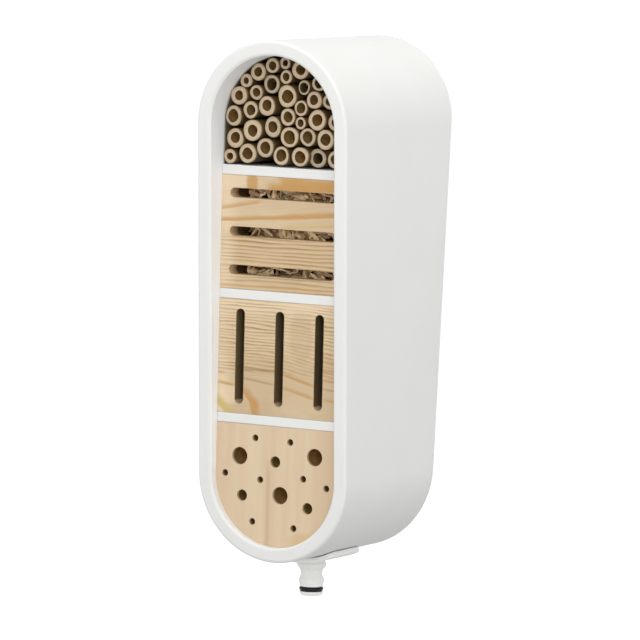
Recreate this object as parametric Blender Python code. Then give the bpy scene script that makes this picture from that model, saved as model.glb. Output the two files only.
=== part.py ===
"""Insect hotel: a tall white case with rounded ends, four nesting rooms and a plug for a pole.

The case is modelled about its own centre, with the front of the wooden boards in the plane
y = 0, and the empty "hotel" then sets the whole object on the end face of its plug, which is
the origin. The front looks along -Y. Everything is in metres.
"""
import math

import bmesh
import bpy
from mathutils import Matrix, Vector

MM = 0.001

# Fit
GAP = 0.3 * MM                  # clearance between pieces that touch
OVERRUN = 5 * MM                # how far a cutter starts outside the face it cuts

# Case, as seen from the front: a rectangle with a half circle at the top and the bottom
WIDTH = 120 * MM
HEIGHT = 364 * MM
RIM = 10.5 * MM                 # width of the rim around the front opening
WALL = 2.5 * MM                 # thickness of the outer and inner walls and of the rim
EDGE = 2.3 * MM                 # rounding of the rim and of the back edge
ARC_STEPS = 24                  # straight steps in each half circle
EDGE_STEPS = 3                  # straight steps in each rounded edge
STRAIGHT = HEIGHT - WIDTH       # length of the straight sides

# Case, as seen from the side: the front leans out over the rooms, the back leans the other way
FRONT_RECESS = 12.5 * MM        # rim stands this far in front of the boards at mid height
FRONT_LEAN = 0.044
BACK_DEPTH = 125.0 * MM         # from the boards to the back of the cover at mid height
BACK_LEAN = 0.056
COVER = 3.0 * MM
COVER_STEP = 2.0 * MM           # how far the cover's locating step reaches into the case

# Shelves and rooms
SHELF = 7.0 * MM
SHELF_HEIGHTS = {"shelf_upper": 90.1 * MM, "shelf_middle": 3.6 * MM, "shelf_lower": -83.4 * MM}
SHELF_EDGE = 0.8 * MM
SHELF_BACK_GAP = 1.0 * MM       # between a shelf and the cover's locating step

# Boards and block
BOARD = 10.5 * MM
WOOD_EDGE = 0.4 * MM            # rounding of the front edges of the boards and the block
SLOT_WIDTH = 6.8 * MM
LYING_SLOT_LENGTH = 85.0 * MM
LYING_SLOT_PITCH = 26.85 * MM
LYING_SLOT_RAISE = 0.5 * MM     # the lying slots sit this far above the middle of their board
UPRIGHT_SLOT_LENGTH = 66.6 * MM
UPRIGHT_SLOT_PITCH = 32.0 * MM
SLOT_STEPS = 8                  # straight steps in each rounded slot end
BLOCK_DEPTH = 80.0 * MM
BLOCK_STEPS = 12                # straight steps in the block's half circle
BORE_DEPTH = 62.0 * MM
BORE_SMALL = 4.8 * MM
BORE_MEDIUM = 8.0 * MM
BORE_LARGE = 12.2 * MM
BORE_SIDES_SMALL = 8
BORE_SIDES = 12
# Bores of the block, from the case centre: sideways, upwards (mm) and diameter
BLOCK_BORES = (
    (-17.7, -96.1, BORE_SMALL), (10.6, -97.0, BORE_SMALL), (-30.1, -109.6, BORE_LARGE),
    (30.5, -105.9, BORE_LARGE), (-1.2, -111.7, BORE_MEDIUM), (-41.9, -122.5, BORE_SMALL),
    (-13.1, -125.1, BORE_SMALL), (21.7, -121.8, BORE_SMALL), (40.4, -126.9, BORE_SMALL),
    (-27.6, -137.2, BORE_MEDIUM), (3.3, -134.9, BORE_LARGE), (25.6, -142.1, BORE_MEDIUM),
    (-18.9, -155.0, BORE_SMALL), (14.7, -157.0, BORE_SMALL))

# Wood chips heaped behind the board with the lying slots
CHIPS_FRONT = 17.0 * MM
CHIPS_DEPTH = 38.0 * MM
CHIPS_LEFT = -42.0 * MM
CHIPS_CHAMFER = 6.0 * MM
CHIPS_EDGE = 1.0 * MM

# Canes: sideways, upwards, outer diameter, bore and set-back from the boards' plane (mm)
CANES = (
    (-10.9, 163.8, 10.8, 5.8, 1.0), (-0.7, 165.9, 8.6, 4.2, 2.5), (11.8, 162.0, 13.8, 6.8, 0.5),
    (-22.1, 158.8, 12.6, 6.2, 0.0), (-31.7, 152.5, 10.2, 4.2, 1.0), (0.4, 156.3, 10.0, 5.4, 1.0),
    (-11.1, 151.1, 13.4, 7.8, 3.0), (15.1, 149.8, 10.4, 6.4, 1.5), (26.8, 153.2, 11.2, 6.4, 2.0),
    (-37.3, 141.9, 13.4, 6.2, 0.0), (-23.4, 144.6, 10.8, 5.8, 1.5), (1.6, 143.1, 16.0, 8.4, 0.5),
    (12.9, 135.4, 11.2, 6.8, 1.0), (23.4, 141.4, 12.8, 6.4, 0.0), (35.7, 141.2, 11.2, 5.6, 1.5),
    (-14.6, 135.5, 14.2, 7.2, 0.0), (-27.7, 132.4, 12.6, 6.8, 0.5), (2.5, 128.7, 12.4, 7.0, 0.0),
    (-41.3, 127.6, 14.4, 8.4, 0.5), (12.8, 125.0, 9.0, 4.8, 1.5), (26.1, 127.7, 15.0, 7.6, 0.0),
    (40.7, 127.0, 12.0, 6.0, 1.5), (-9.4, 121.2, 15.0, 7.2, 0.0), (-25.8, 118.2, 15.4, 7.6, 0.0),
    (4.2, 114.9, 15.0, 8.8, 0.0), (18.9, 115.6, 13.0, 7.8, 0.5), (33.0, 114.5, 14.2, 7.6, 0.0),
    (-39.7, 112.0, 14.0, 7.0, 0.5), (-15.1, 106.6, 14.0, 7.8, 0.0), (-29.3, 102.0, 14.2, 7.6, 0.0),
    (-43.6, 99.3, 10.2, 4.8, 0.5), (-2.2, 101.6, 13.2, 8.0, 0.0), (13.1, 101.8, 14.0, 8.0, 0.0),
    (27.2, 101.6, 13.6, 7.4, 4.0), (41.2, 101.3, 12.6, 6.4, 1.5), (44.7, 114.4, 8.6, 4.4, 2.0))
CANE_SIDES = 12
CANE_LENGTH = 118.0 * MM
CANE_BORE_DEPTH = 104.0 * MM

# Saddle bracket under the case and the plug that a pole coupling takes
SADDLE_INNER = 60.9 * MM        # radii about the centre of the case's lower half circle
SADDLE_OUTER = 64.2 * MM
SADDLE_HALF_ANGLE = math.radians(27.5)
SADDLE_STEPS = 14
SADDLE_FRONT = 31.0 * MM
SADDLE_BACK = 72.0 * MM
SADDLE_CORNER = 6.0 * MM
PAD_RADIUS = 4.6 * MM
PAD_START = 1.0 * MM            # the pads start inside the saddle plate
PLUG_Y = 51.5 * MM              # the plug's axis, behind the boards' plane
PLUG_END = -211.0 * MM          # the plug's end face, from the case centre
TURNED_STEPS = 28
# Turned outline of the plug: radius and height above its end face (mm)
PLUG_OUTLINE = (
    (7.0, 0.0), (7.9, 0.9), (8.3, 2.0), (8.3, 2.8), (5.3, 2.8), (5.3, 6.4), (8.3, 6.4), (8.4, 7.2),
    (8.2, 7.6), (8.6, 8.8), (8.9, 10.2), (8.9, 11.6), (7.8, 13.8), (7.5, 14.6), (7.5, 15.9),
    (7.9, 17.3), (8.3, 18.8), (10.0, 20.6), (10.3, 21.2), (10.3, 22.9), (9.9, 23.4), (9.4, 23.8),
    (9.4, 26.8))
RING_HEIGHT = 4.6 * MM          # middle of the sealing ring, above the plug's end face
RING_RADIUS = 7.1 * MM
RING_CORD = 1.5 * MM
RING_SIDES = 10

# Screws
SCREW_SHANK = 1.4 * MM
SCREW_HEAD = 3.1 * MM
SCREW_HEAD_HEIGHT = 1.9 * MM
SCREW_STEPS = 16
SCREW_HEAD_EDGE = 0.3 * MM       # height of the head's rim
SCREW_HEAD_TAPER = 0.1 * MM
BOSS_RADIUS = 3.3 * MM
BOSS_LENGTH = 16.0 * MM
BOSS_SHORT = 0.5 * MM            # the cover bosses end this far below the cover
PILOT_SPARE = 2.0 * MM           # a pilot hole is this much deeper than its screw
PILOT_START = 3.0 * MM
COVER_SCREW_LENGTH = 14.0 * MM
COVER_SCREW_SINK = 0.4 * MM      # head face below the cover's surface
COVER_RECESS_SINK = 0.2 * MM
BRACKET_SCREW_LENGTH = 10.0 * MM
BRACKET_SCREW_SINK = 0.2 * MM
BRACKET_PILOT_SPARE = 1.0 * MM
BRACKET_RECESS_LENGTH = 12.0 * MM
COVER_SCREW_HEIGHT = 95.0 * MM
BRACKET_SCREW_ANGLE = math.radians(19.5)

# Finishes: colour, roughness, metallic
WHITE_PLASTIC = ((0.80, 0.81, 0.79), 0.45, 0.0)
GREY_PLASTIC = ((0.74, 0.75, 0.73), 0.45, 0.0)
PINE = ((0.72, 0.52, 0.31), 0.65, 0.0)
CANE = ((0.66, 0.51, 0.34), 0.6, 0.0)
CHIP = ((0.34, 0.27, 0.18), 0.85, 0.0)
RUBBER = ((0.02, 0.02, 0.02), 0.5, 0.0)
STEEL = ((0.62, 0.62, 0.60), 0.35, 1.0)


# ---- scene and materials ---------------------------------------------------------------

def clear_scene():
    for item in list(bpy.data.objects):
        bpy.data.objects.remove(item, do_unlink=True)


def make_material(name, finish):
    colour, roughness, metallic = finish
    material = bpy.data.materials.new(name)
    material.use_nodes = True
    shader = material.node_tree.nodes["Principled BSDF"]
    shader.inputs["Base Color"].default_value = (*colour, 1.0)
    shader.inputs["Roughness"].default_value = roughness
    shader.inputs["Metallic"].default_value = metallic
    return material


def add_object(name, shape, finish, parent=None):
    """Turn a bmesh into a named object with its own material."""
    bmesh.ops.recalc_face_normals(shape, faces=shape.faces)
    mesh = bpy.data.meshes.new(name)
    shape.to_mesh(mesh)
    shape.free()
    item = bpy.data.objects.new(name, mesh)
    bpy.context.scene.collection.objects.link(item)
    if finish:
        mesh.materials.append(make_material(name + "_finish", finish))
    item.parent = parent
    return item


def smooth(item, angle=math.radians(40)):
    item.data.shade_smooth()
    item.data.set_sharp_from_angle(angle=angle)


def combine(item, cutter, operation):
    """Boolean modifier; the cutter stays in the scene as a hidden wire guide."""
    cutter.hide_render = True
    cutter.display_type = "WIRE"
    modifier = item.modifiers.new(cutter.name, "BOOLEAN")
    modifier.operation = operation
    modifier.solver = "EXACT"
    modifier.object = cutter


# ---- outlines and simple solids --------------------------------------------------------

def case_outline(inset):
    """Points (x, z) of the case's outline moved inwards, counter-clockwise from the front."""
    radius = WIDTH / 2 - inset
    points = []
    for centre, start in ((STRAIGHT / 2, 0.0), (-STRAIGHT / 2, math.pi)):
        for step in range(ARC_STEPS + 1):
            angle = start + math.pi * step / ARC_STEPS
            points.append((radius * math.cos(angle), centre + radius * math.sin(angle)))
    return points


def front_y(z):
    return -(FRONT_RECESS + FRONT_LEAN * z)


def back_y(z):
    return BACK_DEPTH + BACK_LEAN * z


def join_rings(shape, lower, upper):
    count = len(lower)
    for index in range(count):
        other = (index + 1) % count
        shape.faces.new((lower[index], lower[other], upper[other], upper[index]))


def loft(rings, closed=False):
    """Solid skinned over rings of points; closed joins the last ring to the first."""
    shape = bmesh.new()
    loops = [[shape.verts.new(point) for point in ring] for ring in rings]
    for lower, upper in zip(loops, loops[1:]):
        join_rings(shape, lower, upper)
    if closed:
        join_rings(shape, loops[-1], loops[0])
    else:
        shape.faces.new(loops[0])
        shape.faces.new(loops[-1])
    return shape


def case_ring(inset, plane, offset):
    """Ring on the case's front or back plane, moved inwards and then along +Y."""
    return [(x, plane(z) + offset, z) for x, z in case_outline(inset)]


def quarter():
    """Offsets (sideways, along) of a rounded edge, from the flank to the face."""
    angles = [math.pi / 2 * step / EDGE_STEPS for step in range(EDGE_STEPS + 1)]
    return [(EDGE * (1 - math.cos(a)), EDGE * (1 - math.sin(a))) for a in angles]


def turned(outline, steps):
    """Solid turned about +Z from (radius, height) pairs, closed at both ends."""
    rings = []
    for radius, height in outline:
        angles = [2 * math.pi * step / steps for step in range(steps)]
        rings.append([(radius * math.cos(a), radius * math.sin(a), height) for a in angles])
    return loft(rings)


def rounded_plate(outline, front, back, edge):
    """Plate between two y values from an (x, z) outline function of the inset."""
    rings = [[(x, front, z) for x, z in outline(edge)],
             [(x, front + edge, z) for x, z in outline(0.0)],
             [(x, back, z) for x, z in outline(0.0)]]
    return loft(rings)


def place(shape, origin, direction):
    """Turn a solid made along +Z to point along a direction, and move its foot to origin."""
    turn = Vector((0, 0, 1)).rotation_difference(Vector(direction)).to_matrix().to_4x4()
    bmesh.ops.transform(shape, matrix=Matrix.Translation(Vector(origin)) @ turn, verts=shape.verts)
    return shape


def rod(radius, length, origin, direction, steps=SCREW_STEPS):
    return place(turned(((radius, 0.0), (radius, length)), steps), origin, direction)


# ---- case ------------------------------------------------------------------------------

def cover_screw_places():
    middle = WIDTH / 2 - RIM / 2
    return {"cover_screw_upper_left": (-middle, COVER_SCREW_HEIGHT),
            "cover_screw_upper_right": (middle, COVER_SCREW_HEIGHT),
            "cover_screw_lower_left": (-middle, -COVER_SCREW_HEIGHT),
            "cover_screw_lower_right": (middle, -COVER_SCREW_HEIGHT)}


def bracket_screw_frames():
    """Head-face centre and inward direction of each bracket screw."""
    frames = {}
    for name, side in (("bracket_screw_left", -1), ("bracket_screw_right", 1)):
        angle = side * BRACKET_SCREW_ANGLE
        inward = Vector((-math.sin(angle), 0, math.cos(angle)))
        centre = Vector((0, (SADDLE_FRONT + SADDLE_BACK) / 2, -STRAIGHT / 2))
        frames[name] = (centre - inward * (SADDLE_OUTER - BRACKET_SCREW_SINK), inward)
    return frames


def make_case(parent):
    """Outer wall, rounded rim and inner wall in one moulding, open at the back between the walls."""
    seat = -(COVER + GAP)
    outer_edge = [case_ring(inset, front_y, along) for inset, along in quarter()]
    inner_edge = [case_ring(RIM - inset, front_y, along) for inset, along in reversed(quarter())]
    rings = [case_ring(0.0, back_y, seat), *outer_edge, *inner_edge,
             case_ring(RIM, back_y, seat), case_ring(RIM - WALL, back_y, seat),
             case_ring(RIM - WALL, front_y, WALL), case_ring(WALL, front_y, WALL),
             case_ring(WALL, back_y, seat)]
    case = add_object("case", loft(rings, closed=True), WHITE_PLASTIC, parent)
    add_bosses(case, parent)
    smooth(case)
    return case


def add_bosses(case, parent):
    """Screw bosses that fill the space between the walls, each with its pilot hole."""
    clearance = SCREW_SHANK + GAP
    for name, (x, z) in cover_screw_places().items():
        end = back_y(z) - COVER - GAP - BOSS_SHORT
        boss = rod(BOSS_RADIUS, BOSS_LENGTH, (x, end, z), (0, -1, 0))
        combine(case, add_object(name + "_boss", boss, None, parent), "UNION")
        pilot = rod(clearance, COVER_SCREW_LENGTH + PILOT_SPARE, (x, end + PILOT_START, z), (0, -1, 0))
        combine(case, add_object(name + "_pilot", pilot, None, parent), "DIFFERENCE")
    for name, (head, inward) in bracket_screw_frames().items():
        skin = SADDLE_OUTER - WIDTH / 2 + WALL / 2
        boss = rod(BOSS_RADIUS, RIM - WALL, head + inward * skin, inward)
        combine(case, add_object(name + "_boss", boss, None, parent), "UNION")
        pilot = rod(clearance, BRACKET_SCREW_LENGTH + BRACKET_PILOT_SPARE, head, inward)
        combine(case, add_object(name + "_pilot", pilot, None, parent), "DIFFERENCE")


def make_cover(parent):
    """Back cover with a rounded outer edge and a step that locates inside the inner wall."""
    step = RIM + GAP
    back_edge = [case_ring(inset, back_y, -along) for inset, along in quarter()]
    rings = [case_ring(step, back_y, -COVER - COVER_STEP), case_ring(step, back_y, -COVER),
             case_ring(0.0, back_y, -COVER), *back_edge]
    cover = add_object("rear_cover", loft(rings), WHITE_PLASTIC, parent)
    for name, (x, z) in cover_screw_places().items():
        recess = turned(recess_outline(COVER + OVERRUN), SCREW_STEPS)
        place(recess, (x, back_y(z) - COVER_RECESS_SINK, z), (0, -1, 0))
        combine(cover, add_object(name + "_recess", recess, None, parent), "DIFFERENCE")
    smooth(cover)


def make_shelves(parent):
    half = WIDTH / 2 - RIM - GAP
    for name, height in SHELF_HEIGHTS.items():
        back = back_y(height) - COVER - COVER_STEP - SHELF_BACK_GAP

        def outline(inset, height=height):
            side, rise = half, SHELF / 2 - inset
            return [(-side, height - rise), (side, height - rise), (side, height + rise),
                    (-side, height + rise)]

        shelf = add_object(name, rounded_plate(outline, 0.0, back, SHELF_EDGE), WHITE_PLASTIC, parent)
        smooth(shelf)


# ---- boards and block ------------------------------------------------------------------

def room(above, below):
    """Lowest and highest z of the clear room between two shelves."""
    floor = SHELF_HEIGHTS[below] + SHELF / 2 + GAP
    ceiling = SHELF_HEIGHTS[above] - SHELF / 2 - GAP
    return floor, ceiling


def make_board(name, above, below, parent):
    floor, ceiling = room(above, below)
    half = WIDTH / 2 - RIM - GAP

    def outline(inset):
        side = half - inset
        low, high = floor + inset, ceiling - inset
        return [(-side, low), (side, low), (side, high), (-side, high)]

    return add_object(name, rounded_plate(outline, 0.0, BOARD, WOOD_EDGE), PINE, parent)


def slot_cutter(name, x, z, length, upright, parent):
    """Stadium-shaped cutter that goes right through a board."""
    radius = SLOT_WIDTH / 2
    reach = length / 2 - radius
    points = []
    for side, start in ((1, -math.pi / 2), (-1, math.pi / 2)):
        for step in range(SLOT_STEPS + 1):
            angle = start + math.pi * step / SLOT_STEPS
            points.append((side * reach + radius * math.cos(angle), radius * math.sin(angle)))
    if upright:
        points = [(-b, a) for a, b in points]
    rings = [[(x + a, y, z + b) for a, b in points] for y in (-OVERRUN, BOARD + OVERRUN)]
    return add_object(name, loft(rings), None, parent)


def make_slotted_boards(parent):
    lying = make_board("board_lying_slots", "shelf_upper", "shelf_middle", parent)
    upright = make_board("board_upright_slots", "shelf_middle", "shelf_lower", parent)
    lying_middle = sum(room("shelf_upper", "shelf_middle")) / 2 + LYING_SLOT_RAISE
    upright_middle = sum(room("shelf_middle", "shelf_lower")) / 2
    for index, step in enumerate((-1, 0, 1)):
        z = lying_middle + step * LYING_SLOT_PITCH
        cutter = slot_cutter("lying_slot_%d" % index, 0.0, z, LYING_SLOT_LENGTH, False, parent)
        combine(lying, cutter, "DIFFERENCE")
        x = step * UPRIGHT_SLOT_PITCH
        cutter = slot_cutter("upright_slot_%d" % index, x, upright_middle, UPRIGHT_SLOT_LENGTH,
                             True, parent)
        combine(upright, cutter, "DIFFERENCE")


def block_outline(inset):
    """Flat top below the lowest shelf, straight sides, and the half circle of the case."""
    radius = WIDTH / 2 - RIM - GAP - inset
    top = SHELF_HEIGHTS["shelf_lower"] - SHELF / 2 - GAP - inset
    points = [(radius, top), (-radius, top)]
    for step in range(BLOCK_STEPS + 1):
        angle = math.pi + math.pi * step / BLOCK_STEPS
        points.append((radius * math.cos(angle), -STRAIGHT / 2 + radius * math.sin(angle)))
    return points


def make_block(parent):
    shape = rounded_plate(block_outline, 0.0, BLOCK_DEPTH, WOOD_EDGE)
    block = add_object("drilled_block", shape, PINE, parent)
    for index, (x, z, diameter) in enumerate(BLOCK_BORES):
        steps = BORE_SIDES_SMALL if diameter < BORE_MEDIUM else BORE_SIDES
        drill = rod(diameter / 2, BORE_DEPTH + OVERRUN, (x * MM, -OVERRUN, z * MM), (0, 1, 0), steps)
        combine(block, add_object("bore_%02d" % index, drill, None, parent), "DIFFERENCE")


def make_chips(parent):
    """Heap of loose wood chips, as one plain body."""
    floor, ceiling = room("shelf_upper", "shelf_middle")
    right = WIDTH / 2 - RIM - GAP

    def outline(inset):
        return [(CHIPS_LEFT + inset, floor), (right, floor), (right, ceiling - inset),
                (CHIPS_LEFT + inset + CHIPS_CHAMFER, ceiling - inset)]

    shape = rounded_plate(outline, CHIPS_FRONT, CHIPS_FRONT + CHIPS_DEPTH, CHIPS_EDGE)
    add_object("wood_chips", shape, CHIP, parent)


# ---- canes -----------------------------------------------------------------------------

def cane_radii():
    """Outer radii of the canes, trimmed where two neighbours would touch or meet the wall."""
    radii = [outer * MM / 2 for _, _, outer, _, _ in CANES]
    centres = [Vector((x * MM, z * MM)) for x, z, _, _, _ in CANES]
    for first in range(len(CANES)):
        for second in range(first + 1, len(CANES)):
            distance = (centres[first] - centres[second]).length
            excess = radii[first] + radii[second] + GAP - distance
            if excess > 0:
                radii[first] -= excess / 2
                radii[second] -= excess / 2
    inner = WIDTH / 2 - RIM - GAP
    for index, centre in enumerate(centres):
        from_arc = centre - Vector((0, max(min(centre.y, STRAIGHT / 2), 0)))
        radii[index] = min(radii[index], inner - from_arc.length)
    return radii


def make_canes(parent):
    """Hollow canes, open at the front and closed by a node of the cane near the back."""
    for index, (cane, radius) in enumerate(zip(CANES, cane_radii())):
        x, z, _, bore, setback = (value * MM for value in cane)
        rings = []
        for ring_radius, y in ((bore / 2, CANE_BORE_DEPTH), (bore / 2, 0.0), (radius, 0.0),
                               (radius, CANE_LENGTH - setback)):
            angles = [2 * math.pi * step / CANE_SIDES for step in range(CANE_SIDES)]
            rings.append([(x + ring_radius * math.cos(a), y + setback, z + ring_radius * math.sin(a))
                          for a in angles])
        smooth(add_object("cane_%02d" % (index + 1), loft(rings), CANE, parent))


# ---- bracket, plug and screws ----------------------------------------------------------

def screw_outline(length):
    """Countersunk screw along +Z, its flat head face at z = 0."""
    return [(SCREW_HEAD, 0.0), (SCREW_HEAD - SCREW_HEAD_TAPER, SCREW_HEAD_EDGE),
            (SCREW_SHANK, SCREW_HEAD_HEIGHT), (SCREW_SHANK, length)]


def recess_outline(length):
    """Clear space around a screw, which starts outside the face that the head sits in."""
    head, shank = SCREW_HEAD + GAP, SCREW_SHANK + GAP
    return [(head, -OVERRUN), (head, GAP), (head - SCREW_HEAD_TAPER, SCREW_HEAD_EDGE + GAP),
            (shank, SCREW_HEAD_HEIGHT + GAP), (shank, length)]


def make_saddle(parent):
    """Curved plate that follows the underside of the case, with rounded corners in plan."""
    reach = SADDLE_OUTER * SADDLE_HALF_ANGLE
    half_length = (SADDLE_BACK - SADDLE_FRONT) / 2
    middle = (SADDLE_BACK + SADDLE_FRONT) / 2
    shape = bmesh.new()
    columns = []
    for step in range(SADDLE_STEPS + 1):
        along = -reach + 2 * reach * step / SADDLE_STEPS
        corner = max(abs(along) - (reach - SADDLE_CORNER), 0.0)
        trim = SADDLE_CORNER - math.sqrt(max(SADDLE_CORNER ** 2 - corner ** 2, 0.0))
        angle = along / SADDLE_OUTER
        column = []
        for radius, end in ((SADDLE_INNER, -1), (SADDLE_OUTER, -1), (SADDLE_OUTER, 1), (SADDLE_INNER, 1)):
            y = middle + end * (half_length - trim)
            x, z = radius * math.sin(angle), -STRAIGHT / 2 - radius * math.cos(angle)
            column.append(shape.verts.new((x, y, z)))
        columns.append(column)
    for first, second in zip(columns, columns[1:]):
        join_rings(shape, first, second)
    shape.faces.new(columns[0])
    shape.faces.new(columns[-1])
    return add_object("pole_bracket", shape, GREY_PLASTIC, parent)


def make_bracket(parent):
    """Saddle, two raised pads that meet the case, and the turned plug, in one moulding."""
    bracket = make_saddle(parent)
    plug = turned([(radius * MM, height * MM) for radius, height in PLUG_OUTLINE], TURNED_STEPS)
    bmesh.ops.translate(plug, vec=(0, PLUG_Y, PLUG_END), verts=plug.verts)
    combine(bracket, add_object("plug_turning", plug, None, parent), "UNION")
    for name, (head, inward) in bracket_screw_frames().items():
        top = SADDLE_OUTER - WIDTH / 2 - GAP
        pad = rod(PAD_RADIUS, top - PAD_START, head + inward * PAD_START, inward)
        combine(bracket, add_object(name + "_pad", pad, None, parent), "UNION")
        recess = place(turned(recess_outline(BRACKET_RECESS_LENGTH), SCREW_STEPS), head, inward)
        combine(bracket, add_object(name + "_recess", recess, None, parent), "DIFFERENCE")
    smooth(bracket, math.radians(30))


def make_sealing_ring(parent):
    rings = []
    for step in range(TURNED_STEPS):
        turn = 2 * math.pi * step / TURNED_STEPS
        ring = []
        for side in range(RING_SIDES):
            angle = 2 * math.pi * side / RING_SIDES
            radius = RING_RADIUS + RING_CORD * math.cos(angle)
            height = RING_HEIGHT + RING_CORD * math.sin(angle)
            ring.append((radius * math.cos(turn), PLUG_Y + radius * math.sin(turn), PLUG_END + height))
        rings.append(ring)
    smooth(add_object("sealing_ring", loft(rings, closed=True), RUBBER, parent))


def make_screws(parent):
    for name, (x, z) in cover_screw_places().items():
        shape = turned(screw_outline(COVER_SCREW_LENGTH), SCREW_STEPS)
        place(shape, (x, back_y(z) - COVER_SCREW_SINK, z), (0, -1, 0))
        smooth(add_object(name, shape, STEEL, parent))
    for name, (head, inward) in bracket_screw_frames().items():
        shape = turned(screw_outline(BRACKET_SCREW_LENGTH), SCREW_STEPS)
        place(shape, head + inward * BRACKET_SCREW_SINK, inward)
        smooth(add_object(name, shape, STEEL, parent))


def main():
    clear_scene()
    hotel = bpy.data.objects.new("hotel", None)
    hotel.location = (0.0, -PLUG_Y, -PLUG_END)
    bpy.context.scene.collection.objects.link(hotel)
    make_case(hotel)
    make_cover(hotel)
    make_shelves(hotel)
    make_slotted_boards(hotel)
    make_block(hotel)
    make_chips(hotel)
    make_canes(hotel)
    make_bracket(hotel)
    make_sealing_ring(hotel)
    make_screws(hotel)
    bpy.context.view_layer.update()


main()
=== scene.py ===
"""Looks of the insect hotel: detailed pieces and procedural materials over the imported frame.

Lengths are in metres in the frame's own axes: the open front looks along -Y, +Z is up, and
the origin is the end of the plug. The patterns in the wood are placed in millimetres from the
centre of the case, sideways and upwards, as a person would mark them out on the front.
"""
import math

import bmesh
import bpy
import numpy as np
from mathutils import Matrix, Vector


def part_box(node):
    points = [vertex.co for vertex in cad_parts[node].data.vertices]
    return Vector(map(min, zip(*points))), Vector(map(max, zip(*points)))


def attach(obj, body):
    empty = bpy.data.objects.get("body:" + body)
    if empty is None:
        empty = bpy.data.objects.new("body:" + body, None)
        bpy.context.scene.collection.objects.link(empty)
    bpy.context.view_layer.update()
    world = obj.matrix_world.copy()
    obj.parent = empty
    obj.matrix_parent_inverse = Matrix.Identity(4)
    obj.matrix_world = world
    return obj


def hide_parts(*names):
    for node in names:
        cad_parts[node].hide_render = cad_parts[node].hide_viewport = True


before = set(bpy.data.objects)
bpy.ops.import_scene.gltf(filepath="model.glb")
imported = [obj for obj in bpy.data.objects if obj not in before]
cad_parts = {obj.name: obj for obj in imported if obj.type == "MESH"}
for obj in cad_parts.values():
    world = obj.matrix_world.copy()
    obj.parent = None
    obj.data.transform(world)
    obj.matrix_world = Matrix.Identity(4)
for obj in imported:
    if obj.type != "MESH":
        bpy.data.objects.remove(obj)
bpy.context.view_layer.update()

MM = 0.001
GAP = 0.3 * MM  # between neighbouring pieces in the CAD
CLOSE = 0.24 * MM  # how much of that gap the wooden pieces take up

# ---- places read from the frame ----

CASE_LOW, CASE_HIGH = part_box("case")
SHELF_LOW, SHELF_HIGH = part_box("shelf_middle")
WIDTH = CASE_HIGH.x - CASE_LOW.x
HEIGHT = CASE_HIGH.z - CASE_LOW.z
CENTRE_Z = (CASE_HIGH.z + CASE_LOW.z) / 2
STRAIGHT = HEIGHT - WIDTH
BOARD_Y = SHELF_LOW.y  # plane of the boards' and shelves' front faces
RIM = WIDTH / 2 - SHELF_HIGH.x - GAP  # width of the rim around the opening
LOWER_AXIS = CENTRE_Z - STRAIGHT / 2  # axis of the lower half circle

# ---- sizes of the pieces: the mouldings have the CAD's outlines ----

WALL = 2.5 * MM  # thickness of the case's outer and inner wall
EDGE = 2.3 * MM  # rounding of the rim and of the cover
FRONT_RECESS = 12.5 * MM  # from the rim back to the boards, at mid height
FRONT_LEAN = 0.044  # how fast that recess grows upwards
BACK_DEPTH = 125.0 * MM  # from the boards to the back, at mid height
BACK_LEAN = 0.056
COVER = 3.0 * MM
COVER_STEP = 2.0 * MM  # the cover's inner step, which fits in the case
JOINT_EDGE = 0.5 * MM  # rounding on each side of the joint at the back
SADDLE_INNER = 60.9 * MM
SADDLE_CLOSE = 0.4 * MM  # how much of its gap under the case the saddle fills
SADDLE_OUTER = 64.2 * MM
SADDLE_HALF_ANGLE = math.radians(27.5)
SADDLE_HALF_LENGTH = 20.5 * MM
SADDLE_CORNER = 6.0 * MM
BRACKET_SCREW_ANGLE = math.radians(19.5)
BRACKET_SCREW = 10 * MM  # its length
HEAD_SINK = 0.2 * MM  # depth of the hole's mouth, and of the head below it
SHELF_EDGE = 0.8 * MM
WOOD_EDGE = 0.2 * MM

# ---- steps in the meshes ----

ARC_STEPS = 72  # each half circle of the case
EDGE_STEPS = 7  # each rounded edge
TURNED_STEPS = 72  # the plug and the ring
SCREW_STEPS = 40
BORE_STEPS = 48
CORD_STEPS = 24  # section of the ring

# ---- meshes ----


def loft(rings, closed=False):
    """Vertices and faces of a skin over rings with equally many points."""
    count = len(rings[0])
    vertices = [tuple(point) for ring in rings for point in ring]
    faces = []
    for first in range(len(rings) if closed else len(rings) - 1):
        low, high = first * count, (first + 1) % len(rings) * count
        for index in range(count):
            other = (index + 1) % count
            faces.append((low + index, low + other, high + other, high + index))
    if not closed:
        faces.append(tuple(range(count)))
        faces.append(tuple(range(len(vertices) - count, len(vertices))))
    return vertices, faces


def new_object(name, vertices, faces, materials=()):
    """Object with outward normals, linked to the scene."""
    mesh = bpy.data.meshes.new(name)
    mesh.from_pydata(vertices, [], faces)
    shape = bmesh.new()
    shape.from_mesh(mesh)
    bmesh.ops.recalc_face_normals(shape, faces=shape.faces)
    shape.to_mesh(mesh)
    shape.free()
    for material in materials:
        mesh.materials.append(material)
    item = bpy.data.objects.new(name, mesh)
    bpy.context.scene.collection.objects.link(item)
    return item


def smooth(item, angle=35):
    """Smooth shading that stays sharp at edges steeper than angle degrees."""
    item.data.shade_smooth()
    item.data.set_sharp_from_angle(angle=math.radians(angle))


def even_normals(item):
    """Keeps broad flat faces flat beside their rounded edges."""
    modifier = item.modifiers.new("even_normals", "WEIGHTED_NORMAL")
    modifier.keep_sharp = True


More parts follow.
